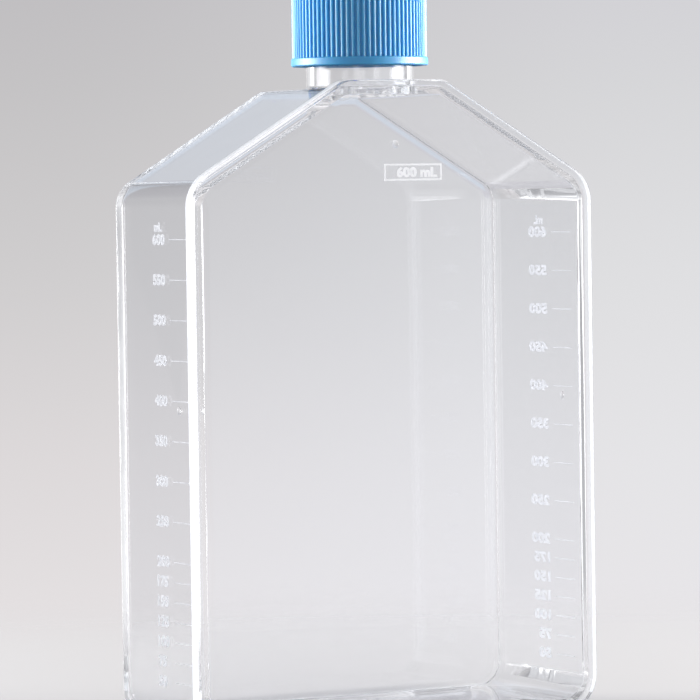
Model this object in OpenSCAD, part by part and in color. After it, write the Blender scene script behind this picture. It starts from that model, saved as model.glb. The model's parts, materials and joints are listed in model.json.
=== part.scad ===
// Cell culture flask: a clear moulded tub with a screw neck, a welded front plate and a blue vented cap.
// The flask stands on its lower end. X runs across its width, Y from its front plate to its back wall, Z up.

/* [Body] */
// Width across the side walls, outside
body_w = 118.6; // [100:0.2:140]
// Height from the lower wall to the flat top, outside
body_h = 166.5; // [140:0.5:200]
// Depth over everything, from the front rim to the back wall
body_d = 47; // [40:0.5:60]
// Width of the flat top between the sloping shoulders
top_w = 29.5; // [29:0.5:40]
// Slope of the shoulders from the horizontal, in degrees
shoulder_deg = 30.4; // [25:0.2:36]
// Thickness of the side, shoulder and end walls
wall = 2; // [1.6:0.1:2.4]
// Thickness of the back wall
back_wall = 2; // [1.5:0.1:3]
// How much smaller the tub gets all round from its open end to its back
draft = 0.3; // [0:0.05:0.6]

/* [Corners] */
// Outside radius of the two lower corners
foot_corner_r = 8.7; // [5.5:0.1:12]
// Outside radius of the two shoulder corners
shoulder_corner_r = 8.2; // [5.5:0.1:12]
// Outside radius where the shoulders meet the flat top
top_corner_r = 5; // [4.8:0.1:7]
// Outside radius round the edge of the back wall
back_edge_r = 1.6; // [0.8:0.1:2.4]
// Inside radius round the edge of the back wall
back_inner_r = 2; // [1:0.1:2.2]

/* [Rim and front plate] */
// How far the weld flange and the plate stand out past the walls
rim_out = 1.8; // [1:0.1:2.6]
// Thickness of the tub's weld flange
flange_t = 1.1; // [0.8:0.1:2]
// Radius in the corner between flange and wall
flange_root = 0.5; // [0.2:0.1:0.8]
// Thickness of the plate's clear window
plate_t = 1.8; // [1.2:0.1:2.6]
// How far the plate's edge stands proud of its window
plate_rim_h = 0.7; // [0.4:0.1:1.2]
// Width of the plate's raised edge
plate_rim_w = 4.5; // [3.4:0.1:6]
// Bevel on the plate's outer edge
plate_bevel = 0.5; // [0.2:0.1:0.8]
// Width of the weld bead that joins the tub to the plate
weld_w = 1.2; // [0.6:0.1:1.4]
// Height of the weld bead
weld_h = 0.15; // [0.1:0.05:0.3]

/* [Feet] */
// Length of each of the two feet under the back edge
foot_len = 18; // [10:1:30]
// Width of each foot
foot_w = 3; // [2:0.2:4]
// Distance between the middles of the feet
foot_gap = 76; // [50:1:84]

/* [Neck] */
// Outside diameter of the neck
neck_od = 28.4; // [27:0.1:28.6]
// Inside diameter of the neck
neck_bore = 24.6; // [22:0.1:25]
// Height of the neck above the flat top
neck_h = 23.2; // [22:0.1:26]
// How far the neck's axis lies in front of the middle
neck_forward = 5.2; // [3:0.1:5.2]
// Radius of the small fillet at the neck's foot
neck_root = 0.5; // [0.2:0.1:0.6]
// Radius of the rounded lip
lip_r = 0.6; // [0.3:0.1:0.8]

/* [Screw thread] */
// Rise of the thread in one turn
thread_lead = 4; // [3.6:0.1:4.6]
// Height of the neck's thread ridge above the neck
thread_depth = 1.3; // [1:0.05:1.4]
// Width of a ridge at its foot
ridge_foot_w = 2; // [1.6:0.1:2.2]
// Width of a ridge at its crest
ridge_crest_w = 1; // [0.6:0.1:1.2]
// Turns of thread on the neck and in the cap
thread_turns = 1.5; // [1:0.25:1.75]
// Distance from the lip down to the top of the neck's thread
thread_below_lip = 3.5; // [3:0.1:5]
// Gap between the bearing flanks of the closed thread
thread_play = 0.25; // [0.15:0.05:0.4]

/* [Cap] */
// Diameter of the flange round the cap's mouth
cap_flange_od = 36.2; // [35.6:0.1:36.4]
// Height of the flange
cap_flange_h = 2.2; // [1.5:0.1:3]
// Diameter over the grip ribs
cap_od = 35.6; // [35.2:0.1:36]
// Height of the cap
cap_h = 21.3; // [20.5:0.1:22.8]
// Number of grip ribs
rib_count = 78; // [60:1:90]
// Depth of the grooves between the ribs
rib_depth = 0.5; // [0.3:0.05:0.6]
// How far a rib's eased edges drop below its crest
rib_ease = 0.14; // [0.06:0.01:0.2]
// Thickness of the cap's top
cap_top_t = 2.1; // [1.6:0.1:3]
// Inside diameter of the skirt
skirt_bore = 32; // [31.8:0.1:32.4]
// Size of the eased edge round the cap's top
cap_edge_r = 1.4; // [0.6:0.1:1.6]
// Diameter of each vent hole
vent_d = 2.6; // [1.5:0.1:3]
// Radius of the ring of vent holes
vent_ring_r = 6; // [5:0.1:7]
// Number of vent holes in the ring
vent_count = 6; // [4:1:8]

/* [Seal and membrane] */
// Thickness of the seal ring
seal_t = 1.6; // [1.2:0.1:1.8]
// Inside diameter of the seal ring
seal_hole = 23.6; // [22:0.1:24]
// Clearance round the seal ring inside the cap
seal_clear = 0.3; // [0.2:0.05:0.4]
// Gap above and below the seal ring
seal_play = 0.05; // [0.03:0.01:0.1]
// How far the snap bead under the seal ring stands in from the skirt
bead_in = 0.6; // [0.5:0.05:0.7]
// Diameter of the vent membrane
membrane_d = 26.4; // [24:0.1:28]
// Thickness of the vent membrane
membrane_t = 0.3; // [0.2:0.05:0.4]
// Clearance round the membrane in its seat
membrane_clear = 0.1; // [0.05:0.01:0.2]

/* [Hidden] */

CLEAR = [0.86, 0.89, 0.93, 0.45];
BLUE = [0.16, 0.50, 0.80];
MILK = [0.93, 0.93, 0.90];
WHITE = [0.97, 0.97, 0.97];

STEP_DEG = 7.5;     // one facet of a rounded corner
EDGE_STEPS = 4;     // facets across a rounded edge
THREAD_STEP = 12;   // degrees for one step of a thread ridge
THREAD_FADE = 45;   // degrees over which a ridge runs in and out
BURY = 0.3;         // how deep a ridge is set into the wall that carries it
OVER = 1;           // how far a cut runs past a face
FN = 96;            // facets of a full circle in the preview
ROOT_SHARE = 0.28;  // share of a rib's pitch that its flat root takes
FLANK_SHARE = 0.12; // share of the pitch for each steep flank
EASE_SHARE = 0.16;  // share of the pitch for each eased edge of the crest

front_y = -body_d / 2;
back_y = body_d / 2;
weld_y = front_y + plate_rim_h + plate_t;
base_z = rim_out;
top_z = base_z + body_h;
shoulder_z = top_z - (body_w - top_w) / 2 * tan(shoulder_deg);

neck_y = -neck_forward;
neck_r = neck_od / 2;
lip_z = top_z + neck_h;
thread_r = neck_r + thread_depth;
// middle of the neck's thread at its top end
thread_top_z = lip_z - thread_below_lip - ridge_foot_w / 2;
thread_low_z = thread_top_z - thread_turns * thread_lead;

seal_low_z = lip_z + seal_play;
seal_top_z = seal_low_z + seal_t;
cap_ceiling_z = seal_top_z + seal_play;
cap_top_z = cap_ceiling_z + cap_top_t;
cap_low_z = cap_top_z - cap_h;
cap_r = skirt_bore / 2;
cap_crest_r = neck_r + thread_play * 2;
seal_r = cap_r - seal_clear;
bead_r = cap_r - bead_in;
// how far apart two ridges' middles lie when their flanks touch
flank_touch = ridge_width(thread_r, neck_r - BURY, thread_r) / 2 + ridge_width(thread_r, cap_r + BURY, cap_crest_r) / 2;
cap_thread_drop = flank_touch + thread_play;

// Width of a ridge at radius r, for a ridge that stands on radius foot and ends at radius crest
function ridge_width(r, foot, crest) =
    ridge_foot_w + (ridge_crest_w - ridge_foot_w) * (r - foot) / (crest - foot);

// Points along an arc from angle a to angle b, seen from the front
function arc(centre, r, a, b) =
    let (n = max(2, round((b - a) / STEP_DEG)))
    [for (i = [0:n]) centre + r * [cos(a + (b - a) * i / n), sin(a + (b - a) * i / n)]];

// The right half's three corners: centre, radius, first and last angle
foot_corner = [
    [body_w / 2 - foot_corner_r, base_z + foot_corner_r],
    foot_corner_r, -90, 0];
shoulder_corner = [
    [body_w / 2 - shoulder_corner_r, shoulder_z - shoulder_corner_r * tan(45 - shoulder_deg / 2)],
    shoulder_corner_r, 0, 90 - shoulder_deg];
top_corner = [
    [top_w / 2 - top_corner_r * tan(shoulder_deg / 2), top_z - top_corner_r],
    top_corner_r, 90 - shoulder_deg, 90];

// The flask's outline seen from the front, grown outwards by g
function half_outline(g) =
    [for (c = [foot_corner, shoulder_corner, top_corner]) each arc(c[0], max(c[1] + g, 0.3), c[2], c[3])];

function outline(g) =
    let (right = half_outline(g), n = len(right))
    concat(right, [for (i = [n - 1:-1:0]) [-right[i].x, right[i].y]]);

// A solid whose outline grows and shrinks from front to back; each station is [y, growth]
module loft(stations) {
    rings = [for (s = stations) [for (p = outline(s[1])) [p.x, s[0], p.y]]];
    n = len(rings[0]);
    last = len(rings) - 1;
    sides = [for (i = [0:last - 1], j = [0:n - 1])
        [i * n + j, i * n + (j + 1) % n, (i + 1) * n + (j + 1) % n, (i + 1) * n + j]];
    front = [for (j = [n - 1:-1:0]) j];
    back = [for (j = [0:n - 1]) last * n + j];
    polyhedron([for (r = rings) each r], concat([front], sides, [back]));
}

// Stations that round the edge of a back face at y, from growth g, with radius r
function round_edge(y, g, r) =
    [for (i = [0:EDGE_STEPS]) let (a = 90 * i / EDGE_STEPS) [y - r + r * sin(a), g - r + r * cos(a)]];

// Stations that round an inside corner between a flange at y and a wall at growth g
function round_root(y, g, r) =
    [for (i = [0:EDGE_STEPS]) let (a = 90 * i / EDGE_STEPS) [y + r - r * cos(a), g + r - r * sin(a)]];

// One ridge of screw thread about Z; its middle climbs from low_z, it stands on radius foot, ends at radius crest
module thread_ridge(foot, crest, low_z, start_deg) {
    sweep_deg = 360 * thread_turns;
    n = round(sweep_deg / THREAD_STEP);
    out = sign(crest - foot);
    rings = [for (i = [0:n])
        let (
            a = sweep_deg * i / n,
            rise = min(1, min(a, sweep_deg - a) / THREAD_FADE),
            tip = foot + out * (BURY * 0.9 + (abs(crest - foot) - BURY * 0.9) * sqrt(rise)),
            z = low_z + thread_lead * a / 360,
            turn = [cos(start_deg + a), sin(start_deg + a)]
        )
        [for (p = [
            [foot, -ridge_foot_w / 2],
            [tip, -ridge_crest_w / 2],
            [tip, ridge_crest_w / 2],
            [foot, ridge_foot_w / 2]]) [p.x * turn.x, p.x * turn.y, z + p.y]]];
    quads = [for (i = [0:n - 1], j = [0:3])
        [i * 4 + j, i * 4 + (j + 1) % 4, (i + 1) * 4 + (j + 1) % 4, (i + 1) * 4 + j]];
    tris = [for (q = quads) each [[q[0], q[1], q[2]], [q[0], q[2], q[3]]]];
    ends = [[3, 2, 1], [3, 1, 0], [n * 4, n * 4 + 1, n * 4 + 2], [n * 4, n * 4 + 2, n * 4 + 3]];
    faces = concat(tris, ends);
    polyhedron(
        [for (r = rings) each r],
        out > 0 ? faces : [for (f = faces) [f[2], f[1], f[0]]]);
}

module at_neck() {
    translate([0, neck_y, 0])
        children();
}

module tube_profile(r_in, r_out, low, high) {
    translate([r_in, low])
        square([r_out - r_in, high - low]);
}

// Outside of the tub: weld bead, flange, walls and rounded back
module tub_outside() {
    flange_front = weld_y + weld_h;
    flange_back = flange_front + flange_t;
    bead_edge = -(wall - weld_w) / 2;
    loft(concat(
        [[weld_y, bead_edge], [flange_front, bead_edge]],
        [[flange_front, rim_out], [flange_back, rim_out]],
        round_root(flange_back, 0, flange_root),
        round_edge(back_y, -draft, back_edge_r)
    ));
}

// Hollow of the tub, open at the front
module tub_inside() {
    flange_front = weld_y + weld_h;
    bead_edge = -(wall + weld_w) / 2;
    loft(concat(
        [[weld_y - OVER, bead_edge], [flange_front, bead_edge]],
        [[flange_front, -wall]],
        round_edge(back_y - back_wall, -wall - draft, back_inner_r)
    ));
}

// Neck without its bore, with a fillet at the foot and a rounded lip
module neck_outside() {
    low_z = top_z - wall / 2;
    rotate_extrude($fn = FN)
        difference() {
            union() {
                tube_profile(neck_bore / 2 - OVER, neck_r, low_z, lip_z - lip_r);
                tube_profile(neck_bore / 2 - OVER, neck_r - lip_r, low_z, lip_z);
                translate([neck_r - lip_r, lip_z - lip_r])
                    circle(lip_r, $fn = 32);
                tube_profile(neck_r - OVER, neck_r + neck_root, low_z, top_z + neck_root);
            }
            translate([neck_r + neck_root, top_z + neck_root])
                circle(neck_root, $fn = 32);
        }
}

module feet() {
    foot_y = back_y - back_edge_r - draft - foot_w / 2 - 0.4;
    for (side = [-1, 1])
        translate([side * foot_gap / 2, foot_y, 0])
            linear_extrude(base_z + wall / 2)
                union() {
                    square([foot_len - foot_w, foot_w], center = true);
                    for (end = [-1, 1])
                        translate([end * (foot_len - foot_w) / 2, 0])
                            circle(foot_w / 2, $fn = 32);
                }
}

module flask_body() {
    color(CLEAR)
        difference() {
            union() {
                tub_outside();
                feet();
                at_neck() {
                    neck_outside();
                    thread_ridge(neck_r - BURY, thread_r, thread_low_z, 0);
                }
            }
            tub_inside();
            at_neck()
                translate([0, 0, top_z - wall - OVER])
                    cylinder(h = wall + neck_h + 2 * OVER, d = neck_bore, $fn = FN);
        }
}

module front_plate() {
    window_y = weld_y - plate_t;
    color(CLEAR)
        difference() {
            loft([
                [front_y, rim_out - plate_bevel],
                [front_y + plate_bevel, rim_out],
                [weld_y, rim_out]]);
            loft([
                [front_y - OVER, rim_out - plate_rim_w + OVER],
                [window_y, rim_out - plate_rim_w - plate_rim_h]]);
        }
}

// Plan of the ribbed grip: flat roots, steep flanks, and crests with eased edges
module grip_plan() {
    pitch = 360 / rib_count;
    tip_r = cap_od / 2;
    ease_r = tip_r - rib_ease;
    root_r = tip_r - rib_depth;
    flank_low = ROOT_SHARE;
    flank_high = flank_low + FLANK_SHARE;
    crest_from = flank_high + EASE_SHARE;
    polygon([for (i = [0:rib_count - 1])
        each [for (p = [
            [0, root_r],
            [flank_low, root_r],
            [flank_high, ease_r],
            [crest_from, tip_r],
            [1 - FLANK_SHARE - EASE_SHARE, tip_r],
            [1 - FLANK_SHARE, ease_r]])
            let (a = (i + p[0]) * pitch) p[1] * [cos(a), sin(a)]]]);
}

// Turned blank that eases the top edge of the grip with two bevels
module grip_blank() {
    tip_r = cap_od / 2;
    knee = cap_edge_r * (1 - sin(45));
    past = OVER / cap_edge_r;
    rotate_extrude($fn = FN)
        polygon([
            [0, cap_low_z],
            [tip_r + past * knee, cap_low_z],
            [tip_r + past * knee, cap_top_z - cap_edge_r - past * (cap_edge_r - knee)],
            [tip_r - knee, cap_top_z - knee],
            [tip_r - cap_edge_r, cap_top_z],
            [0, cap_top_z]]);
}

module cap_flange() {
    bevel = cap_flange_h / 8;
    r = cap_flange_od / 2;
    rotate_extrude($fn = FN)
        polygon([
            [cap_r - OVER, cap_low_z],
            [r - bevel, cap_low_z],
            [r, cap_low_z + bevel],
            [r, cap_low_z + cap_flange_h - bevel],
            [r - bevel, cap_low_z + cap_flange_h],
            [cap_r - OVER, cap_low_z + cap_flange_h]]);
}

// Inside of the cap: the skirt's bore, the bead that holds the seal ring, and the room above it
module cap_inside() {
    bead_top_z = seal_low_z - seal_play;
    lead_in = 0.6;
    rotate_extrude($fn = FN)
        polygon([
            [0, cap_low_z - OVER],
            [cap_r + lead_in, cap_low_z - OVER],
            [cap_r + lead_in, cap_low_z],
            [cap_r, cap_low_z + lead_in],
            [cap_r, bead_top_z - 2 * bead_in],
            [bead_r, bead_top_z - bead_in],
            [bead_r, bead_top_z - bead_in / 2],
            [cap_r, bead_top_z],
            [cap_r, cap_ceiling_z],
            [0, cap_ceiling_z]]);
}

module vent_holes() {
    spots = concat([[0, 0]], [for (i = [0:vent_count - 1])
        vent_ring_r * [cos(360 * i / vent_count), sin(360 * i / vent_count)]]);
    for (p = spots)
        translate([p.x, p.y, cap_ceiling_z - OVER])
            cylinder(h = cap_top_t + 2 * OVER, d = vent_d, $fn = 32);
}

module cap_shell() {
    color(BLUE)
        at_neck() {
            difference() {
                union() {
                    intersection() {
                        translate([0, 0, cap_low_z])
                            linear_extrude(cap_h + OVER)
                                grip_plan();
                        grip_blank();
                    }
                    cap_flange();
                }
                cap_inside();
                vent_holes();
            }
            thread_ridge(cap_r + BURY, cap_crest_r, thread_low_z - cap_thread_drop, 0);
        }
}

module seal_ring() {
    seat_z = seal_top_z - membrane_t - seal_play;
    color(MILK)
        at_neck()
            rotate_extrude($fn = FN)
                difference() {
                    tube_profile(seal_hole / 2, seal_r, seal_low_z, seal_top_z);
                    tube_profile(0, membrane_d / 2 + membrane_clear, seat_z, seal_top_z + OVER);
                }
}

module vent_membrane() {
    seat_z = seal_top_z - membrane_t - seal_play;
    color(WHITE)
        at_neck()
            translate([0, 0, seat_z])
                cylinder(h = membrane_t, d = membrane_d, $fn = FN);
}

flask_body();
front_plate();
cap_shell();
seal_ring();
vent_membrane();
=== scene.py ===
# %% [markdown]
# # A cell culture flask in Blender
# A cell culture flask is a clear moulded tub with a screw neck. A clear plate is welded over its open
# front, and a blue vented cap screws onto the neck. Every solid piece already has its true shape and size
# in a imported frame, so this lesson dresses it: the clear plastic, the cap's finish, the printed volume
# marks and the light. The frame is loaded first.

# %% Load the frame
import json
import math

import bmesh
import bpy
from mathutils import Matrix, Vector

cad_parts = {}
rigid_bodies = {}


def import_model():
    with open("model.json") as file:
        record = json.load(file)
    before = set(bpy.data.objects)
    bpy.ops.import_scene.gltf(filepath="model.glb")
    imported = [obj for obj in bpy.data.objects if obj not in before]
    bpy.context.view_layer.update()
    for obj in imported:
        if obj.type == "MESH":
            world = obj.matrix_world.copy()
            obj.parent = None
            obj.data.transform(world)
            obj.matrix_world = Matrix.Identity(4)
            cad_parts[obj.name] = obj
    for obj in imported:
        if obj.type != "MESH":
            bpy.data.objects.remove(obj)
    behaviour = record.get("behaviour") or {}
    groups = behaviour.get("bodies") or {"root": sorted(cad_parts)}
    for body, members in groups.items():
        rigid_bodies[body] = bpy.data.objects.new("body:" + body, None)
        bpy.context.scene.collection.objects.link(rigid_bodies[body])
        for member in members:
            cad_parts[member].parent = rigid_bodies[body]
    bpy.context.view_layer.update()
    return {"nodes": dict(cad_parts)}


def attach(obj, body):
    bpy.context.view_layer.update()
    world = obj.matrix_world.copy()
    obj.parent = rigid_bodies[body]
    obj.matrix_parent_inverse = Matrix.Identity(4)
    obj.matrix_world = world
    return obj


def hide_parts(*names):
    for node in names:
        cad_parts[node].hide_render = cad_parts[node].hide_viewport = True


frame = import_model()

MM = 0.001
nodes = frame["nodes"]
scene = bpy.context.scene
print("pieces in the frame:", sorted(nodes))

# %% [markdown]
# ## Shader maths that reads like maths
# A finish is a sum of small effects: a haze here, a fine grain there. Blender adds such things up with one
# node for each plus sign. They could be wired by hand, but the wiring hides the idea. So a Wire stands for
# one socket, and Python's own operators on it add the Math nodes. Any other node comes from one method of
# the NodeSheet, which takes the node's type, its settings and what goes into its sockets.

# %% A wire that can be added and multiplied
class Wire:
    """One output socket of a node sheet. Arithmetic on it adds Math nodes."""

    def __init__(self, sheet, socket):
        self.sheet = sheet
        self.socket = socket

    def maths(self, operation, *others):
        """A Math node with this wire in its first socket and the others in the next ones."""
        return self.sheet.node("Math", {"operation": operation}, dict(enumerate((self, *others))))

    def __add__(self, other):
        return self.maths("ADD", other)

    def __sub__(self, other):
        return self.maths("SUBTRACT", other)

    def __rsub__(self, other):
        return self.sheet.node("Math", {"operation": "SUBTRACT"}, {0: other, 1: self})

    def __mul__(self, other):
        return self.maths("MULTIPLY", other)

    __radd__ = __add__
    __rmul__ = __mul__

    def absolute(self):
        return self.maths("ABSOLUTE")

    def wrapped(self, low, high):
        """The same angle, brought back between low and high by whole turns."""
        return self.maths("WRAP", high, low)

    def at_least(self, low):
        return self.maths("MAXIMUM", low)

    def at_most(self, high):
        return self.maths("MINIMUM", high)

    def between(self, start, end):
        """0 below start, 1 above end, and a soft step from one to the other."""
        return self.sheet.node("MapRange", {"interpolation_type": "SMOOTHSTEP"},
                               {"Value": self, "From Min": start, "From Max": end})

# %% A node sheet, with one method that makes any node
class NodeSheet:
    """The node tree of a material or a world, emptied, with one method that adds any node to it."""

    def __init__(self, owner):
        owner.use_nodes = True
        self.tree = owner.node_tree
        self.tree.nodes.clear()

    def node(self, kind, settings=None, inputs=None, output=0):
        made = self.tree.nodes.new("ShaderNode" + kind)
        for name, value in (settings or {}).items():
            if name == "stops":
                set_stops(made.color_ramp, value)
            else:
                setattr(made, name, value)
        for name, value in (inputs or {}).items():
            if isinstance(value, Wire):
                self.tree.links.new(value.socket, made.inputs[name])
            else:
                made.inputs[name].default_value = value
        return Wire(self, made.outputs[output]) if made.outputs else None

    def part(self, direction, axis):
        """How much of a direction lies along an axis."""
        return self.node("VectorMath", {"operation": "DOT_PRODUCT"}, {0: direction, 1: axis}, output=1)

    def tint(self, factor, first, second):
        """A colour between two. A Mix node takes colours in its sockets 6 and 7, and gives one from 2."""
        return self.node("Mix", {"data_type": "RGBA"}, {0: factor, 6: first, 7: second}, output=2)

    def noise(self, scale, detail=2.0, roughness=0.5):
        """Soft cloudy noise that stays with the object. Scale is how many lumps there are to a metre."""
        place = self.node("TexCoord", output="Object")
        return self.node("TexNoise", None,
                         {"Vector": place, "Scale": scale, "Detail": detail, "Roughness": roughness})


def set_stops(ramp, stops):
    while len(ramp.elements) < len(stops):
        ramp.elements.new(1.0)
    for element, (position, colour) in zip(ramp.elements, stops):
        element.position = position
        element.color = (*colour, 1.0)

# %% Try the two out
trial = bpy.data.materials.new("trial")
sheet = NodeSheet(trial)
less_haze = 1 - sheet.noise(scale=100.0) * 0.5
print("1 - noise * 0.5 ends in", less_haze.socket.node.operation, "and made", len(sheet.tree.nodes), "nodes")
bpy.data.materials.remove(trial)

# %% New finishes
def new_finish(name):
    """An empty material with its node sheet."""
    material = bpy.data.materials.new(name)
    return material, NodeSheet(material)


def give_finish(piece, material):
    piece.data.materials.clear()
    piece.data.materials.append(material)
    print(piece.name, "has the finish", material.name, "of", len(material.node_tree.nodes), "nodes")

# %% [markdown]
# ## Clear polystyrene
# The flask is injection-moulded polystyrene, as clear as glass, with a refractive index of 1.59. It could
# be faked with a half-transparent colour, but then its rims would not glow: they are bright because light
# from the sides is caught in the plastic and let out at its edges. So it is a true refracting finish on
# closed solids. Real mouldings are never quite flat, so a very shallow, wide ripple bends what is seen
# through them, and a thin haze of scuffs raises the roughness in places. Rays from the lamps are let
# straight through, as thin clear walls do, so the flask throws a soft shadow and not a black one.
#
# The outer edge of the weld is not as clear. The weld melts it a little and it scatters light, so it reads
# as a chalky white line round the flask. That edge takes the same finish, duller, mixed with a chalk that
# sends light both back and through.

# %% The clear finish and the chalky edge
PLASTIC_BEND = 1.59
POLISHED, FROSTED = 0.006, 0.3
CLEAN, SCUFFED = (0.985, 0.99, 1.0, 1.0), (0.95, 0.96, 0.98, 1.0)
RIPPLE_SCALE, RIPPLE_DEPTH, RIPPLE_STRENGTH = 55.0, 0.4 * MM, 0.06
SCUFF_SCALE, SCUFFS_FROM, SCUFFS_TO = 420.0, 0.56, 0.78
SCUFF_TINT, SCUFF_DULLNESS = 0.5, 0.05
CHALK, CHALK_THROUGH = (0.93, 0.94, 0.96, 1.0), 0.6
CHALK_SCALE, PATCHES_FROM, PATCHES_TO, PATCH_DEPTH = 700.0, 0.3, 0.7, 0.3
WELD_WHITENESS = 0.75
LET_THROUGH_TO_LAMPS = (0.79, 0.805, 0.83, 1.0)


def chalk_over(sheet, surface, whiteness):
    """Chalk laid over a surface in uneven patches. Whiteness is the share that it covers."""
    chalk = {"Color": CHALK}
    scatter = sheet.node("MixShader", None, {0: CHALK_THROUGH, 1: sheet.node("BsdfDiffuse", None, chalk),
                                             2: sheet.node("BsdfTranslucent", None, chalk)})
    patches = sheet.noise(CHALK_SCALE, detail=3.0).between(PATCHES_FROM, PATCHES_TO)
    cover = patches * PATCH_DEPTH + (whiteness - PATCH_DEPTH / 2)
    return sheet.node("MixShader", None, {0: cover, 1: surface, 2: scatter})


def clear_polystyrene(name, dullness, whiteness=0.0):
    material, sheet = new_finish(name)
    ripple = sheet.noise(RIPPLE_SCALE, detail=1.0)
    scuffs = sheet.noise(SCUFF_SCALE, detail=4.0, roughness=0.7).between(SCUFFS_FROM, SCUFFS_TO)
    relief = sheet.node("Bump", None,
                        {"Strength": RIPPLE_STRENGTH, "Distance": RIPPLE_DEPTH, "Height": ripple})
    surface = sheet.node("BsdfPrincipled", None, {
        "Base Color": sheet.tint(scuffs * SCUFF_TINT, CLEAN, SCUFFED),
        "Roughness": dullness + SCUFF_DULLNESS * scuffs,
        "IOR": PLASTIC_BEND,
        "Transmission Weight": 1.0,
        "Normal": relief,
    })
    if whiteness:
        surface = chalk_over(sheet, surface, whiteness)
    to_lamps = sheet.node("BsdfTransparent", None, {"Color": LET_THROUGH_TO_LAMPS})
    lamp_ray = sheet.node("LightPath", output="Is Shadow Ray")
    both = sheet.node("MixShader", None, {0: lamp_ray, 1: surface, 2: to_lamps})
    sheet.node("OutputMaterial", None, {"Surface": both})
    return material


clear = clear_polystyrene("clear_polystyrene", POLISHED)
frosted = clear_polystyrene("frosted_edge", FROSTED, WELD_WHITENESS)
for finish in (clear, frosted):
    print(finish.name, "has", len(finish.node_tree.nodes), "nodes")

# %% [markdown]
# ## One clear body
# The tub and the front plate are moulded apart and then welded along the rim, so on the finished flask the
# plastic runs through the weld without a gap. Two solids that only touch would show a false mirror where
# they meet. So the two are joined into one closed mesh by a boolean union, and this one piece stands for
# both. A mesh from a CAD file keeps a corner of its own for every face, so the corners are joined up first:
# a union needs closed solids.

# %% Join closed solids
SAME_CORNER = 0.0005 * MM


def closed_copy(name, source):
    """A copy of a node's mesh with the corners that its faces share joined up."""
    mesh = source.data.copy()
    mesh.name = name
    welder = bmesh.new()
    welder.from_mesh(mesh)
    bmesh.ops.remove_doubles(welder, verts=welder.verts, dist=SAME_CORNER)
    welder.to_mesh(mesh)
    welder.free()
    piece = bpy.data.objects.new(name, mesh)
    scene.collection.objects.link(piece)
    return piece


def apply_modifiers(piece):
    bpy.context.view_layer.update()
    finished = bpy.data.meshes.new_from_object(piece.evaluated_get(bpy.context.evaluated_depsgraph_get()))
    piece.modifiers.clear()
    piece.data = finished


def weld(name, first, *others):
    piece = closed_copy(name, first)
    for other in others:
        tool = closed_copy(name + "_tool", other)
        union = piece.modifiers.new("weld", "BOOLEAN")
        union.operation = "UNION"
        union.solver = "MANIFOLD"
        union.object = tool
        apply_modifiers(piece)
        bpy.data.objects.remove(tool)
    print(name, "is welded from", 1 + len(others), "closed solids")
    return piece

# %% [markdown]
# ## Gate marks
# Hot plastic enters a mould through a small gate, and where it was cut off a shallow lens of plastic stays
# on the wall: one on each side wall of the tub and one on the plate. It could be painted as a bump, but a
# clear wall shows it by the way it bends light, so it is real: a flattened ball, half sunk in the wall. A
# straight line is shot at the wall to find the place and the way it faces.

# %% Three gate marks
GATE_RADIUS, GATE_BULGE = 1.1 * MM, 0.16 * MM
SIDE_GATE_Y, SIDE_GATE_Z = -11.4 * MM, 85.2 * MM
PLATE_GATE_Z = 153.2 * MM
WELL_OUTSIDE = 100 * MM


def gate_mark(wall, start, inward):
    """The small lens of plastic where the mould was filled, in the wall that a straight line meets."""
    found, place, face_normal, _ = wall.ray_cast(start, inward)
    assert found
    lens = bmesh.new()
    bmesh.ops.create_uvsphere(lens, u_segments=24, v_segments=12, radius=GATE_RADIUS,
                              matrix=Matrix.Diagonal((1, 1, GATE_BULGE / GATE_RADIUS, 1)))
    lens.transform(face_normal.to_track_quat("Z", "Y").to_matrix().to_4x4())
    lens.transform(Matrix.Translation(place))
    mesh = bpy.data.meshes.new("gate_mark")
    lens.to_mesh(mesh)
    lens.free()
    mark = bpy.data.objects.new("gate_mark", mesh)
    scene.collection.objects.link(mark)
    print("gate mark at", [round(value / MM, 1) for value in place], "mm")
    return mark


bpy.context.view_layer.update()
gates = [gate_mark(nodes["flask_body"], Vector((side * WELL_OUTSIDE, SIDE_GATE_Y, SIDE_GATE_Z)),
                   Vector((-side, 0, 0))) for side in (-1, 1)]
gates.append(gate_mark(nodes["front_plate"], Vector((0, -WELL_OUTSIDE, PLATE_GATE_Z)), Vector((0, 1, 0))))

# %% [markdown]
# ## Smooth corners and flat walls
# A union cuts flat walls into many faces. They are merged again, or the light would break on them. Then the
# rounded corners are shaded smooth, and each corner's shading normal leans to the largest face beside it,
# so that the walls stay flat right up to their rounded edges. The neck is a true cylinder, made of flat
# strips here, and its walls bend light strongly. So its normals are worked out from its axis and not from
# its strips.

# %% Weld the tub and the plate, and merge what is flat
FLAT_WITHIN = math.radians(0.05)


def merge_flat_faces(mesh):
    shape = bmesh.new()
    shape.from_mesh(mesh)
    bmesh.ops.dissolve_limit(shape, angle_limit=FLAT_WITHIN, verts=shape.verts, edges=shape.edges,
                             use_dissolve_boundaries=False)
    open_edges = sum(1 for edge in shape.edges if len(edge.link_faces) != 2)
    shape.to_mesh(mesh)
    shape.free()
    return open_edges


flask = weld("clear_flask", nodes["flask_body"], nodes["front_plate"], *gates)
for gate in gates:
    bpy.data.objects.remove(gate)
print("open edges after the weld:", merge_flat_faces(flask.data))

# %% Shade it like a moulding
SMOOTH_UP_TO = math.radians(32)
NECK_Y, NECK_FROM_Z = -5.2 * MM, 165 * MM
NECK_RADII = (14.2 * MM, 12.3 * MM)
ON_THE_NECK = 0.02 * MM
LEANING, FACING_OUT = 0.05, 0.99


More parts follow.
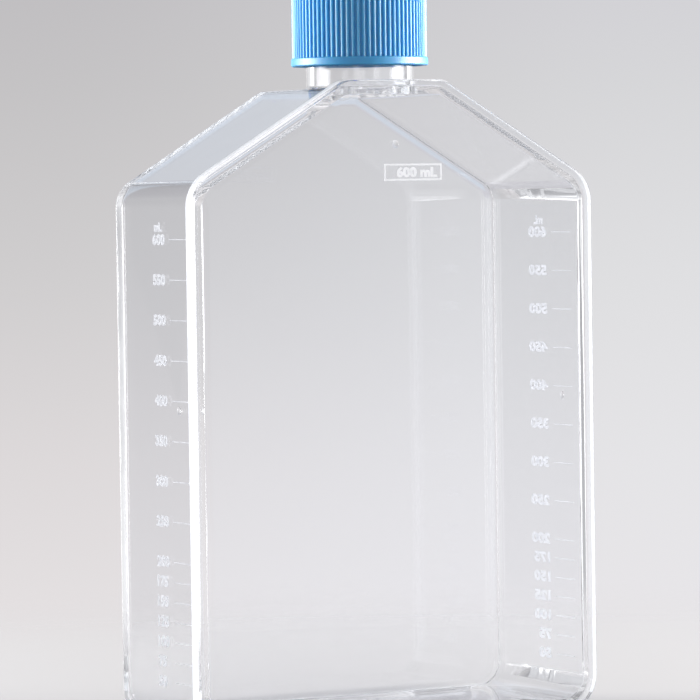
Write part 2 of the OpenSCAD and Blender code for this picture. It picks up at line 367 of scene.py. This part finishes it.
def shade_like_a_moulding(piece):
    """Smooth over rounded edges, with every flat face kept truly flat."""
    piece.data.shade_smooth()
    piece.data.set_sharp_from_angle(angle=SMOOTH_UP_TO)
    weights = piece.modifiers.new("flat_faces_rule", "WEIGHTED_NORMAL")
    weights.mode = "FACE_AREA"
    weights.weight = 100
    weights.keep_sharp = True
    apply_modifiers(piece)


def round_the_neck(piece):
    """Normals that point straight out from the neck's axis, on its outside and in its bore."""
    mesh = piece.data
    normals = [Vector(corner.vector) for corner in mesh.corner_normals]
    rounded = 0
    for face in mesh.polygons:
        if abs(face.normal.z) > LEANING:
            continue
        for corner in face.loop_indices:
            place = mesh.vertices[mesh.loops[corner].vertex_index].co
            outwards = Vector((place.x, place.y - NECK_Y, 0))
            on_neck = min(abs(outwards.length - radius) for radius in NECK_RADII) < ON_THE_NECK
            outwards.normalize()
            if on_neck and place.z > NECK_FROM_Z and abs(outwards.dot(face.normal)) > FACING_OUT:
                normals[corner] = outwards if outwards.dot(face.normal) > 0 else -outwards
                rounded += 1
    mesh.normals_split_custom_set(normals)
    return rounded


shade_like_a_moulding(flask)
print("corners rounded on the neck:", round_the_neck(flask))

# %% Give the body its finish, and its rim the chalky edge
RIM_BACK_Y, RIM_MIDDLE = -19.5 * MM, Vector((0, 0, 80 * MM))
PAST_THE_WALLS, TURNED_TO_FRONT = 0.3 * MM, 0.5
HALF_WIDTH, FLAT_TOP_Z, BOTTOM_Z, SLOPE_REACH = 59.3 * MM, 168.3 * MM, 1.8 * MM, 152.62 * MM
SLOPE_OUT, SLOPE_UP = 0.506, 0.8625
WALLS = (((1, 0, 0), HALF_WIDTH), ((-1, 0, 0), HALF_WIDTH),
         ((0, 0, 1), FLAT_TOP_Z), ((0, 0, -1), -BOTTOM_Z),
         ((SLOPE_OUT, 0, SLOPE_UP), SLOPE_REACH), ((-SLOPE_OUT, 0, SLOPE_UP), SLOPE_REACH))


def rim_growth(place):
    """How far a place lies outside the straight walls. A wall is a plane: the way it faces, and its reach."""
    return max(place.dot(Vector(facing)) - reach for facing, reach in WALLS)


def on_outer_rim(face):
    on_edge = face.center.y < RIM_BACK_Y and abs(face.normal.y) < TURNED_TO_FRONT
    outward = face.normal.dot(face.center - RIM_MIDDLE) > 0
    return on_edge and outward and rim_growth(face.center) > PAST_THE_WALLS


give_finish(flask, clear)
flask.data.materials.append(frosted)
for face in flask.data.polygons:
    if on_outer_rim(face):
        face.material_index = 1
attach(flask, "flask")
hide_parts("flask_body", "front_plate")
print("clear body:", len(flask.data.polygons), "faces, of which",
      sum(face.material_index for face in flask.data.polygons), "are chalky")

# %% [markdown]
# ## Printed volume marks
# Each side wall carries a scale of millilitres in white ink: a number and a short stroke for each mark,
# every 50 mL in the tall part and every 25 mL in the low part, with "mL" over the top one. Ink could be
# painted in the plastic's material, but a painted edge goes soft, and real ink stands on the surface. So
# the numbers are text turned into thin solid letters. They are laid out flat first, as on a printing plate,
# and each point is then dropped onto the wall, which leans a little because of the mould's draft. Both
# walls carry the same marks, each the right way round from outside and backwards through the flask. The
# right wall's numbers are set wider.

# %% Letters, bars and frames on a printing plate
INK_THICKNESS = 0.02 * MM
FIGURE_HEIGHT = 0.69
BOLDER = 0.055
NORMAL_STRETCH = 1.22


def set_letters(plate, text, height, left, middle, stretch=NORMAL_STRETCH):
    """Adds thin solid letters to the plate. They start at left, and middle is half-way up them."""
    curve = bpy.data.curves.new("letters", "FONT")
    curve.body = text
    curve.size = 1.0
    curve.extrude = 0.5
    curve.offset = BOLDER
    curve.resolution_u = 3
    sorts = bpy.data.objects.new("letters", curve)
    mesh = bpy.data.meshes.new_from_object(sorts)
    size = height / FIGURE_HEIGHT
    start = min(vertex.co.x for vertex in mesh.vertices)
    mesh.transform(Matrix.Translation((-start, -FIGURE_HEIGHT / 2, 0)))
    mesh.transform(Matrix.Diagonal((size * stretch, size, INK_THICKNESS, 1)))
    mesh.transform(Matrix.Translation((left, middle, 0)))
    width = max(vertex.co.x for vertex in mesh.vertices) - left
    plate.from_mesh(mesh)
    bpy.data.objects.remove(sorts)
    bpy.data.meshes.remove(mesh)
    return width


def set_bar(plate, left, right, middle, thick):
    place = Vector(((left + right) / 2, middle, 0))
    size = Vector((right - left, thick, INK_THICKNESS))
    bmesh.ops.create_cube(plate, size=1.0, matrix=Matrix.LocRotScale(place, None, size))


def set_frame(plate, left, right, low, high, line):
    """Adds a thin rectangular frame. Its sides are the middles of its lines."""
    rings = []
    for out, off in ((line / 2, -0.5), (line / 2, 0.5), (-line / 2, 0.5), (-line / 2, -0.5)):
        corners = ((left - out, low - out), (right + out, low - out),
                   (right + out, high + out), (left - out, high + out))
        rings.append([plate.verts.new((x, y, off * INK_THICKNESS)) for x, y in corners])
    for ring, next_ring in zip(rings, rings[1:] + rings[:1]):
        for i in range(4):
            j = (i + 1) % 4
            plate.faces.new((ring[i], ring[j], next_ring[j], next_ring[i]))


print("letters and lines are", round(INK_THICKNESS / MM, 3), "mm thick")

# %% Print the plate on the flask
INK_LIFT = 0.004 * MM


def print_on_flask(name, plate, start, across, inward, ink):
    """Drops each point of the plate straight onto the flask, and makes the ink a piece that goes with it."""
    bmesh.ops.remove_doubles(plate, verts=plate.verts, dist=SAME_CORNER)
    for vertex in plate.verts:
        right, up, off = vertex.co
        found, place, face_normal, _ = flask.ray_cast(start + across * right + Vector((0, 0, up)), inward)
        assert found, name
        vertex.co = place + face_normal * (INK_LIFT + INK_THICKNESS / 2 + off)
    bmesh.ops.recalc_face_normals(plate, faces=plate.faces)
    open_edges = sum(1 for edge in plate.edges if len(edge.link_faces) != 2)
    mesh = bpy.data.meshes.new(name)
    plate.to_mesh(mesh)
    plate.free()
    print_piece = bpy.data.objects.new(name, mesh)
    scene.collection.objects.link(print_piece)
    give_finish(print_piece, ink)
    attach(print_piece, "flask")
    print(name, "-", len(mesh.polygons), "faces,", open_edges, "open edges")

# %% [markdown]
# ## White ink
# Screen ink on clear plastic is a thin white film. Light falls on its front and also shines through it from
# behind, so the marks stay pale from both sides of a wall. A plain white would either glare or go grey when
# the light is behind it. So the ink is a mix of a matt front and a translucent film of the same white, with
# a few thin spots where the wall shows. The marks on the side walls are seen against a bright room and let
# most light through. The label on the window faces the room and is denser.

# %% Ink for the marks and ink for the label
INK_SPOT_SCALE, INK_SPOTS_FROM, INK_SPOTS_TO = 1400.0, 0.15, 0.4
INK_COVER, INK_SPOT_DEPTH = 0.92, 0.06
INK_BLUENESS = 1.015


def white_ink(name, whiteness, shine_through):
    """Ink that lies a little unevenly. The share of light that shines through it is between 0 and 1."""
    material, sheet = new_finish(name)
    patches = sheet.noise(INK_SPOT_SCALE, detail=4.0, roughness=0.7)
    pigment = (whiteness, whiteness, INK_BLUENESS * whiteness, 1.0)
    front = sheet.node("BsdfDiffuse", None, {"Color": pigment})
    through = sheet.node("BsdfTranslucent", None, {"Color": pigment})
    film = sheet.node("MixShader", None, {0: shine_through, 1: front, 2: through})
    thin_spots = sheet.node("BsdfTransparent")
    cover = patches.between(INK_SPOTS_FROM, INK_SPOTS_TO) * INK_SPOT_DEPTH + INK_COVER
    both = sheet.node("MixShader", None, {0: cover, 1: thin_spots, 2: film})
    sheet.node("OutputMaterial", None, {"Surface": both})
    return material


scale_ink = white_ink("scale_ink", whiteness=0.78, shine_through=0.68)
label_ink = white_ink("label_ink", whiteness=0.925, shine_through=0.25)
bpy.context.view_layer.update()
print("ink for the marks and for the label:", scale_ink.name, label_ink.name)

# %% The scale on both side walls
TALL_MARKS, LOW_MARKS = range(600, 199, -50), range(175, 49, -25)
FIRST_MARK_Z, Z_PER_ML = 4.08 * MM, 0.2086 * MM
NUMBER_HEIGHT, HEADING_HEIGHT = 2.5 * MM, 2.2 * MM
HEADING_Z = 132.5 * MM
HEADING_STRETCH = 1.06
STROKE_FROM, STROKE_TO, STROKE_THICK = 7.3 * MM, 16.5 * MM, 0.22 * MM
LEFT, RIGHT = -1, 1
NUMBER_STRETCH = {LEFT: NORMAL_STRETCH, RIGHT: 1.6}
NUMBER_START = {LEFT: -2.0 * MM, RIGHT: -4.8 * MM}
HEADING_START = {LEFT: -1.0 * MM, RIGHT: -3.0 * MM}

for side, name in ((LEFT, "volume_marks_left"), (RIGHT, "volume_marks_right")):
    plate = bmesh.new()
    set_letters(plate, "mL", HEADING_HEIGHT, HEADING_START[side], HEADING_Z, HEADING_STRETCH)
    stroke_ends = sorted((-side * STROKE_FROM, -side * STROKE_TO))
    for volume in (*TALL_MARKS, *LOW_MARKS):
        mark_z = FIRST_MARK_Z + Z_PER_ML * volume
        width = set_letters(plate, str(volume), NUMBER_HEIGHT, NUMBER_START[side], mark_z,
                            NUMBER_STRETCH[side])
        set_bar(plate, *stroke_ends, mark_z, STROKE_THICK)
    print("a number is", round(width / MM, 2), "mm wide")
    print_on_flask(name, plate, Vector((side * WELL_OUTSIDE, 0, 0)), Vector((0, side, 0)),
                   Vector((-side, 0, 0)), scale_ink)

# %% [markdown]
# ## The label on the window
# High on the front plate there is a small printed frame. Makers put a name in it. This one only repeats the
# top mark, in the same plain letters. It is printed in the same way, straight back onto the plate.

# %% The frame and its words
LABEL_LEFT, LABEL_RIGHT = -3.3 * MM, 13.9 * MM
LABEL_LOW, LABEL_HIGH = 143.85 * MM, 147.8 * MM
LABEL_LINE = 0.5 * MM
WORDS_HEIGHT, WORDS_START = 2.3 * MM, 0.2 * MM

plate = bmesh.new()
set_frame(plate, LABEL_LEFT, LABEL_RIGHT, LABEL_LOW, LABEL_HIGH, LABEL_LINE)
set_letters(plate, "600 mL", WORDS_HEIGHT, WORDS_START, (LABEL_LOW + LABEL_HIGH) / 2)
print_on_flask("window_label", plate, Vector((0, -WELL_OUTSIDE, 0)), Vector((1, 0, 0)), Vector((0, 1, 0)),
               label_ink)

# %% [markdown]
# ## The blue cap
# The cap is moulded in a satin blue plastic. Its ribs are in the solid already, so the finish only has to
# be right. Paint-like blue would look hard: in such plastic light goes a little way in and comes out beside
# the place, which fills the grooves between the ribs with colour. So the finish scatters light under its
# surface. A fine grain breaks up the shine, as a mould's blasted surface does, and the pigment is a little
# cloudy.

# %% The cap's finish
CAP_BLUE, CAP_PALER_BLUE = (0.055, 0.345, 0.65, 1.0), (0.065, 0.375, 0.69, 1.0)
CAP_CLOUD_SCALE, CAP_GRAIN_SCALE = 90.0, 2600.0
CAP_GRAIN_STRENGTH, CAP_GRAIN_DEPTH = 0.12, 0.05 * MM
CAP_DULLNESS, CAP_GRAIN_DULLNESS = 0.4, 0.1
CAP_BEND = 1.5
CAP_SCATTER, CAP_SCATTER_REACH = 0.8, 2.0 * MM
BLUE_GOES_FURTHEST = (0.5, 0.8, 1.0)


def blue_cap_plastic():
    material, sheet = new_finish("blue_cap_plastic")
    cloud = sheet.noise(CAP_CLOUD_SCALE, detail=3.0)
    grain = sheet.noise(CAP_GRAIN_SCALE, detail=3.0)
    relief = sheet.node("Bump", None,
                        {"Strength": CAP_GRAIN_STRENGTH, "Distance": CAP_GRAIN_DEPTH, "Height": grain})
    surface = sheet.node("BsdfPrincipled", None, {
        "Base Color": sheet.tint(cloud, CAP_BLUE, CAP_PALER_BLUE),
        "Roughness": CAP_DULLNESS + CAP_GRAIN_DULLNESS * grain,
        "IOR": CAP_BEND,
        "Subsurface Weight": CAP_SCATTER,
        "Subsurface Radius": BLUE_GOES_FURTHEST,
        "Subsurface Scale": CAP_SCATTER_REACH,
        "Normal": relief,
    })
    sheet.node("OutputMaterial", None, {"Surface": surface})
    return material


cap = nodes["cap_shell"]
give_finish(cap, blue_cap_plastic())

# %% [markdown]
# ## Seal and membrane
# Inside the cap a soft, milky ring closes on the neck's lip and holds a filter disc under the vent holes.
# They show only when the cap is off or through the clear neck, so two simple finishes do: a slightly cloudy
# satin for the ring, and a dull white with fine fibres for the disc.

# %% The seal's and the membrane's finishes
MILKY, MILKY_PALER = (0.86, 0.86, 0.82, 1.0), (0.92, 0.92, 0.89, 1.0)
SEAL_CLOUD_SCALE, SEAL_DULLNESS, SEAL_CLOUD_DULLNESS = 300.0, 0.42, 0.1
FIBRE_SHADE, FIBRE_WHITE = (0.84, 0.84, 0.84, 1.0), (0.93, 0.93, 0.93, 1.0)
FIBRE_SCALE, FIBRE_STRENGTH, FIBRE_DEPTH = 5200.0, 0.4, 0.05 * MM
DISC_DULLNESS, FIBRE_DULLNESS = 0.8, 0.1


def milky_seal():
    material, sheet = new_finish("milky_seal")
    cloud = sheet.noise(SEAL_CLOUD_SCALE, detail=3.0)
    surface = sheet.node("BsdfPrincipled", None, {
        "Base Color": sheet.tint(cloud, MILKY, MILKY_PALER),
        "Roughness": SEAL_DULLNESS + SEAL_CLOUD_DULLNESS * cloud,
    })
    sheet.node("OutputMaterial", None, {"Surface": surface})
    return material


def white_membrane():
    material, sheet = new_finish("white_membrane")
    fibres = sheet.noise(FIBRE_SCALE, detail=4.0, roughness=0.75)
    relief = sheet.node("Bump", None, {"Strength": FIBRE_STRENGTH, "Distance": FIBRE_DEPTH, "Height": fibres})
    surface = sheet.node("BsdfPrincipled", None, {
        "Base Color": sheet.tint(fibres, FIBRE_SHADE, FIBRE_WHITE),
        "Roughness": DISC_DULLNESS + FIBRE_DULLNESS * fibres,
        "Normal": relief,
    })
    sheet.node("OutputMaterial", None, {"Surface": surface})
    return material


give_finish(nodes["seal_ring"], milky_seal())
give_finish(nodes["vent_membrane"], white_membrane())

# %% [markdown]
# ## The camera
# A flask is a plain upright shape, and a wide lens close by would make it lean. So a long lens looks at it
# from more than a metre away, turned to the left of the window and very slightly down, so that one side
# wall, the window and the sloping shoulder all show. The camera's three directions are worked out from its
# angles, so that the same turn can also place the room and the lamps round the flask.

# %% Place the camera
TURN, DOWN, ROLL = math.radians(30.704), math.radians(2.124), math.radians(0.804)
CAMERA_AT = Vector((-0.6084, -1.0226, 0.1429))
LONG_LENS, SENSOR_WIDTH, NEAREST_SEEN = 230.1, 36.0, 0.05


def studio_camera():
    across = Vector((math.cos(TURN), -math.sin(TURN), 0))
    up = Vector((math.sin(TURN) * math.sin(DOWN), math.cos(TURN) * math.sin(DOWN), math.cos(DOWN)))
    ahead = Vector((math.sin(TURN) * math.cos(DOWN), math.cos(TURN) * math.cos(DOWN), -math.sin(DOWN)))
    right = across * math.cos(ROLL) - up * math.sin(ROLL)
    top = across * math.sin(ROLL) + up * math.cos(ROLL)
    data = bpy.data.cameras.new("camera")
    data.sensor_width = SENSOR_WIDTH
    data.lens = LONG_LENS
    data.clip_start = NEAREST_SEEN
    made = bpy.data.objects.new("camera", data)
    made.matrix_world = Matrix((right, top, -ahead)).transposed().to_4x4()
    made.location = CAMERA_AT
    scene.collection.objects.link(made)
    return made


scene.camera = studio_camera()
print("the camera stands", round(CAMERA_AT.length, 2), "m from the flask's foot")

# %% [markdown]
# ## What the flask looks out on
# A clear flask has hardly a colour of its own. What shows in it is the room around it, bent and mirrored,
# so the room is part of the likeness. A studio's pale backdrop, white boards and big lamps could be built
# as objects, but each would also show up in other views. So the room is a world shader. It is written as a
# list of soft-edged panels round the flask, each with its bearing from the front, its height and how much
# brighter than the backdrop it is. Only rays that were mirrored at least once see the panels and the darker
# room beside the backdrop. Rays that go straight through the plastic see the plain backdrop, which keeps
# the flask clear from every side. Matt surfaces see one plain room level, so that a colour renders about as
# it is written.

# %% The backdrop's colours and the room's panels
# a share of the way from low to high behind the flask, and the colour there
BACKDROP_LEFT = [(0.00, (0.79, 0.765, 0.772)), (0.22, (0.79, 0.76, 0.768)), (0.42, (0.724, 0.695, 0.702)),
                 (0.62, (0.628, 0.614, 0.62)), (0.82, (0.556, 0.545, 0.554)), (1.00, (0.51, 0.498, 0.517))]
BACKDROP_RIGHT = [(0.00, (0.815, 0.80, 0.825)), (0.22, (0.807, 0.791, 0.815)), (0.42, (0.785, 0.78, 0.80)),
                  (0.62, (0.74, 0.74, 0.756)), (0.82, (0.677, 0.677, 0.695)), (1.00, (0.628, 0.621, 0.66))]
BACKDROP_FROM, BACKDROP_TO = -0.15, 0.06
LEFT_EDGE, RIGHT_EDGE = -0.08, 0.08
UPPER_SKY = (0.64, 0.69, 0.77, 1.0)
UPPER_SKY_FROM, UPPER_SKY_TO = 8, 15
BACKDROP_HALF_WIDTH = 18.0
ROOM_BELOW, ROOM_ABOVE = (0.5, 0.5, 0.515, 1.0), (0.32, 0.32, 0.336, 1.0)
ROOM_DARKENS_FROM, ROOM_DARKENS_TO = -0.11, 0.02
MATT_ROOM, MATT_LEVEL = (0.97, 0.98, 1.0, 1.0), 0.4
WHITE = (1.0, 1.0, 1.0, 1.0)
PANEL_EDGE = 4.0
# middle bearing, half width, lowest and highest elevation, all in degrees, and extra brightness
PANELS = (
    (60, 17, -35, 24, 0.22),
    (60, 17, -35, -1, 0.25),
    (84, 8, -35, 24, 0.6),
    (37, 7, -14, 20, 1.0),
    (142, 7, -12, 24, 1.3),
    (157, 7, -12, 24, 0.45),
    (-148, 21, -7, 16, 0.33),
    (-150, 30, -90, -10, -0.12),
    (-40, 50, -90, -3, 0.13),
    (-40, 50, -3, 90, 0.42),
    (120, 58, -90, -14, 0.5),
    (170, 50, 35, 80, 1.2),
    (97, 13, -5, 3, 6.0),
    (-97, 11, -5, 3, 4.4),
    (-136, 10, -5, 3, 1.0),
    (-7, 7, -10, 12, 0.8),
)
print("panels round the flask:", len(PANELS))

# %% Panels and backdrop as shader maths
def turned_off(bearing, middle):
    """How many degrees a bearing lies away from a middle one, round either side."""
    return (bearing - middle).wrapped(-180, 180).absolute()


def panels(bearing, elevation):
    """The brightness of all the panels in one direction."""
    total = 0.0
    for middle, half_width, low, high, extra in PANELS:
        off = turned_off(bearing, middle)
        wide = 1 - off.between(half_width - PANEL_EDGE, half_width + PANEL_EDGE)
        tall = (elevation.between(low - PANEL_EDGE, low + PANEL_EDGE)
                * (1 - elevation.between(high - PANEL_EDGE, high + PANEL_EDGE)))
        total = wide * tall * extra + total
    return total


def backdrop(sheet, to_right, height, elevation):
    """The pale backdrop: two upright colour runs that blend across, and the sky above them."""
    share = sheet.node("MapRange", None,
                       {"Value": height, "From Min": BACKDROP_FROM, "From Max": BACKDROP_TO})
    left = sheet.node("ValToRGB", {"stops": BACKDROP_LEFT}, {0: share})
    right = sheet.node("ValToRGB", {"stops": BACKDROP_RIGHT}, {0: share})
    low = sheet.tint(to_right.between(LEFT_EDGE, RIGHT_EDGE), left, right)
    return sheet.tint(elevation.between(UPPER_SKY_FROM, UPPER_SKY_TO), low, UPPER_SKY)

# %% Put the room together
def studio_world():
    world = bpy.data.worlds.new("studio")
    scene.world = world
    sheet = NodeSheet(world)
    direction = sheet.node("TexCoord", output="Generated")
    height = sheet.part(direction, (0, 0, 1))
    to_right = sheet.part(direction, (math.cos(TURN), -math.sin(TURN), 0))
    to_front = sheet.part(direction, (-math.sin(TURN), -math.cos(TURN), 0))
    bearing = to_right.maths("ARCTAN2", to_front) * math.degrees(1)
    elevation = height.maths("ARCSINE") * math.degrees(1)

    by_plastic = sheet.node("LightPath", output="Is Glossy Ray")
    by_camera = sheet.node("LightPath", output="Is Camera Ray")
    from_matt = sheet.node("LightPath", output="Diffuse Depth").at_most(1)
    mirrored = sheet.node("LightPath", output="Glossy Depth").at_most(1) * by_plastic * (1 - from_matt)

    from_behind = turned_off(bearing, 180)
    beside = from_behind.between(BACKDROP_HALF_WIDTH - PANEL_EDGE, BACKDROP_HALF_WIDTH + PANEL_EDGE)
    room_tone = sheet.tint(height.between(ROOM_DARKENS_FROM, ROOM_DARKENS_TO), ROOM_BELOW, ROOM_ABOVE)
    surroundings = sheet.tint(beside * mirrored, backdrop(sheet, to_right, height, elevation), room_tone)
    behind = sheet.node("Background", None, {"Color": surroundings, "Strength": 1.0})
    board_light = panels(bearing, elevation) * mirrored
    boards = sheet.node("Background", None, {"Color": WHITE, "Strength": board_light})
    seen = sheet.node("AddShader", None, {0: behind, 1: boards})
    room = sheet.node("Background", None, {"Color": MATT_ROOM, "Strength": MATT_LEVEL})
    both = sheet.node("MixShader", None, {0: by_plastic.at_least(by_camera), 1: room, 2: seen})
    sheet.node("OutputWorld", None, {"Surface": both})
    return len(world.node_tree.nodes)


print("the world has", studio_world(), "nodes")

# %% [markdown]
# ## Lamps
# The world gives the flask what it mirrors, but an even room throws hardly a shadow and leaves the cap's
# ribs without shape. So two softboxes stand at the sides and a weak one hangs above and behind. They light
# matt surfaces only: the panels of the world already stand for them in the clear plastic, where a second
# set of mirrors would show twice.
#
# The cap's satin ribs do need the softboxes' sharp streaks. Each side lamp gets a twin that lights nothing
# but the polish of the cap, by light linking, so that it can be stronger and the cap's colour stays as
# written.

# %% Softboxes
LIT_POINT = Vector((0, 0, 100 * MM))


def softbox(name, bearing, distance, width, height, middle_z, radiance):
    """A lamp that faces the flask. Bearing is in degrees round from the camera's direction, to its right."""
    angle = -math.pi / 2 - TURN + math.radians(bearing)
    place = Vector((math.cos(angle) * distance, math.sin(angle) * distance, middle_z))
    data = bpy.data.lights.new(name, "AREA")
    data.shape = "RECTANGLE"
    data.size = width
    data.size_y = height
    data.energy = radiance * width * height * math.pi
    made = bpy.data.objects.new(name, data)
    made.location = place
    made.rotation_euler = (LIT_POINT - place).to_track_quat("-Z", "Y").to_euler()
    made.visible_camera = False
    made.visible_transmission = False
    made.visible_glossy = False
    scene.collection.objects.link(made)
    print(name, "gives", round(data.energy, 2), "W")
    return made


def glint(lamp, piece, strength):
    """A stronger twin of a lamp that only shines in the polish of one piece."""
    twin = lamp.copy()
    twin.name = lamp.name + "_glint"
    twin.visible_glossy = True
    twin.visible_diffuse = False
    twin.data = lamp.data.copy()
    twin.data.energy *= strength
    lit = bpy.data.collections.new(twin.name)
    lit.objects.link(piece)
    twin.light_linking.receiver_collection = lit
    scene.collection.objects.link(twin)


at_the_side = {"distance": 0.8, "height": 0.34, "middle_z": 0.26}
left_box = softbox("softbox_left", bearing=-98, width=0.5, radiance=22.0, **at_the_side)
glint(left_box, cap, strength=1.7)
right_box = softbox("softbox_right", bearing=99, width=0.62, radiance=20.0, **at_the_side)
glint(right_box, cap, strength=2.1)
softbox("softbox_top", bearing=170, distance=0.5, width=0.8, height=0.5, middle_z=1.0, radiance=2.5)

# %% [markdown]
# ## The floor
# The flask needs something to stand on, or its shadow has nowhere to fall. A large floor would cover the
# backdrop that shows through the clear walls. So it is a small round disc of pale paper, matt and finely
# grained, that fades out to nothing well away from the flask. It is no part of the object.

# %% A pale round floor that fades out
FLOOR_RADIUS, FLOOR_SIDES = 0.5, 96
FADE_FROM, FADE_TO = 0.12, 0.42
PAPER, PAPER_PALER = (0.472, 0.463, 0.467, 1.0), (0.487, 0.477, 0.481, 1.0)
PAPER_GRAIN_SCALE = 900.0


def paper_finish():
    material, sheet = new_finish("pale_floor")
    place = sheet.node("TexCoord", output="Object")
    reach = sheet.node("VectorMath", {"operation": "LENGTH"}, {0: place}, output=1)
    grain = sheet.noise(PAPER_GRAIN_SCALE, detail=3.0)
    matt = sheet.node("BsdfPrincipled", None, {
        "Base Color": sheet.tint(grain, PAPER, PAPER_PALER),
        "Roughness": 1.0,
        "Specular IOR Level": 0.0,
    })
    gone = sheet.node("BsdfTransparent")
    both = sheet.node("MixShader", None, {0: reach.between(FADE_FROM, FADE_TO), 1: matt, 2: gone})
    sheet.node("OutputMaterial", None, {"Surface": both})
    return material


def pale_floor():
    mesh = bpy.data.meshes.new("floor")
    shape = bmesh.new()
    bmesh.ops.create_circle(shape, cap_ends=True, segments=FLOOR_SIDES, radius=FLOOR_RADIUS)
    shape.to_mesh(mesh)
    shape.free()
    floor = bpy.data.objects.new("floor", mesh)
    scene.collection.objects.link(floor)
    give_finish(floor, paper_finish())


pale_floor()

# %% [markdown]
# ## Enough bounces, and the last look
# Light in a clear flask is bent at every wall, and in a rim it is mirrored many times before it gets out.
# With Blender's usual limits such rays are cut off and the rims go black, so the limits are raised.

# %% Raise the limits
CLEAR_BOUNCES, ALL_BOUNCES, SEE_THROUGH_BOUNCES = 90, 96, 32

scene.view_settings.view_transform = "Standard"
scene.cycles.max_bounces = ALL_BOUNCES
scene.cycles.transmission_bounces = CLEAR_BOUNCES
scene.cycles.glossy_bounces = CLEAR_BOUNCES
scene.cycles.transparent_max_bounces = SEE_THROUGH_BOUNCES

print("a ray may bounce", scene.cycles.max_bounces, "times")
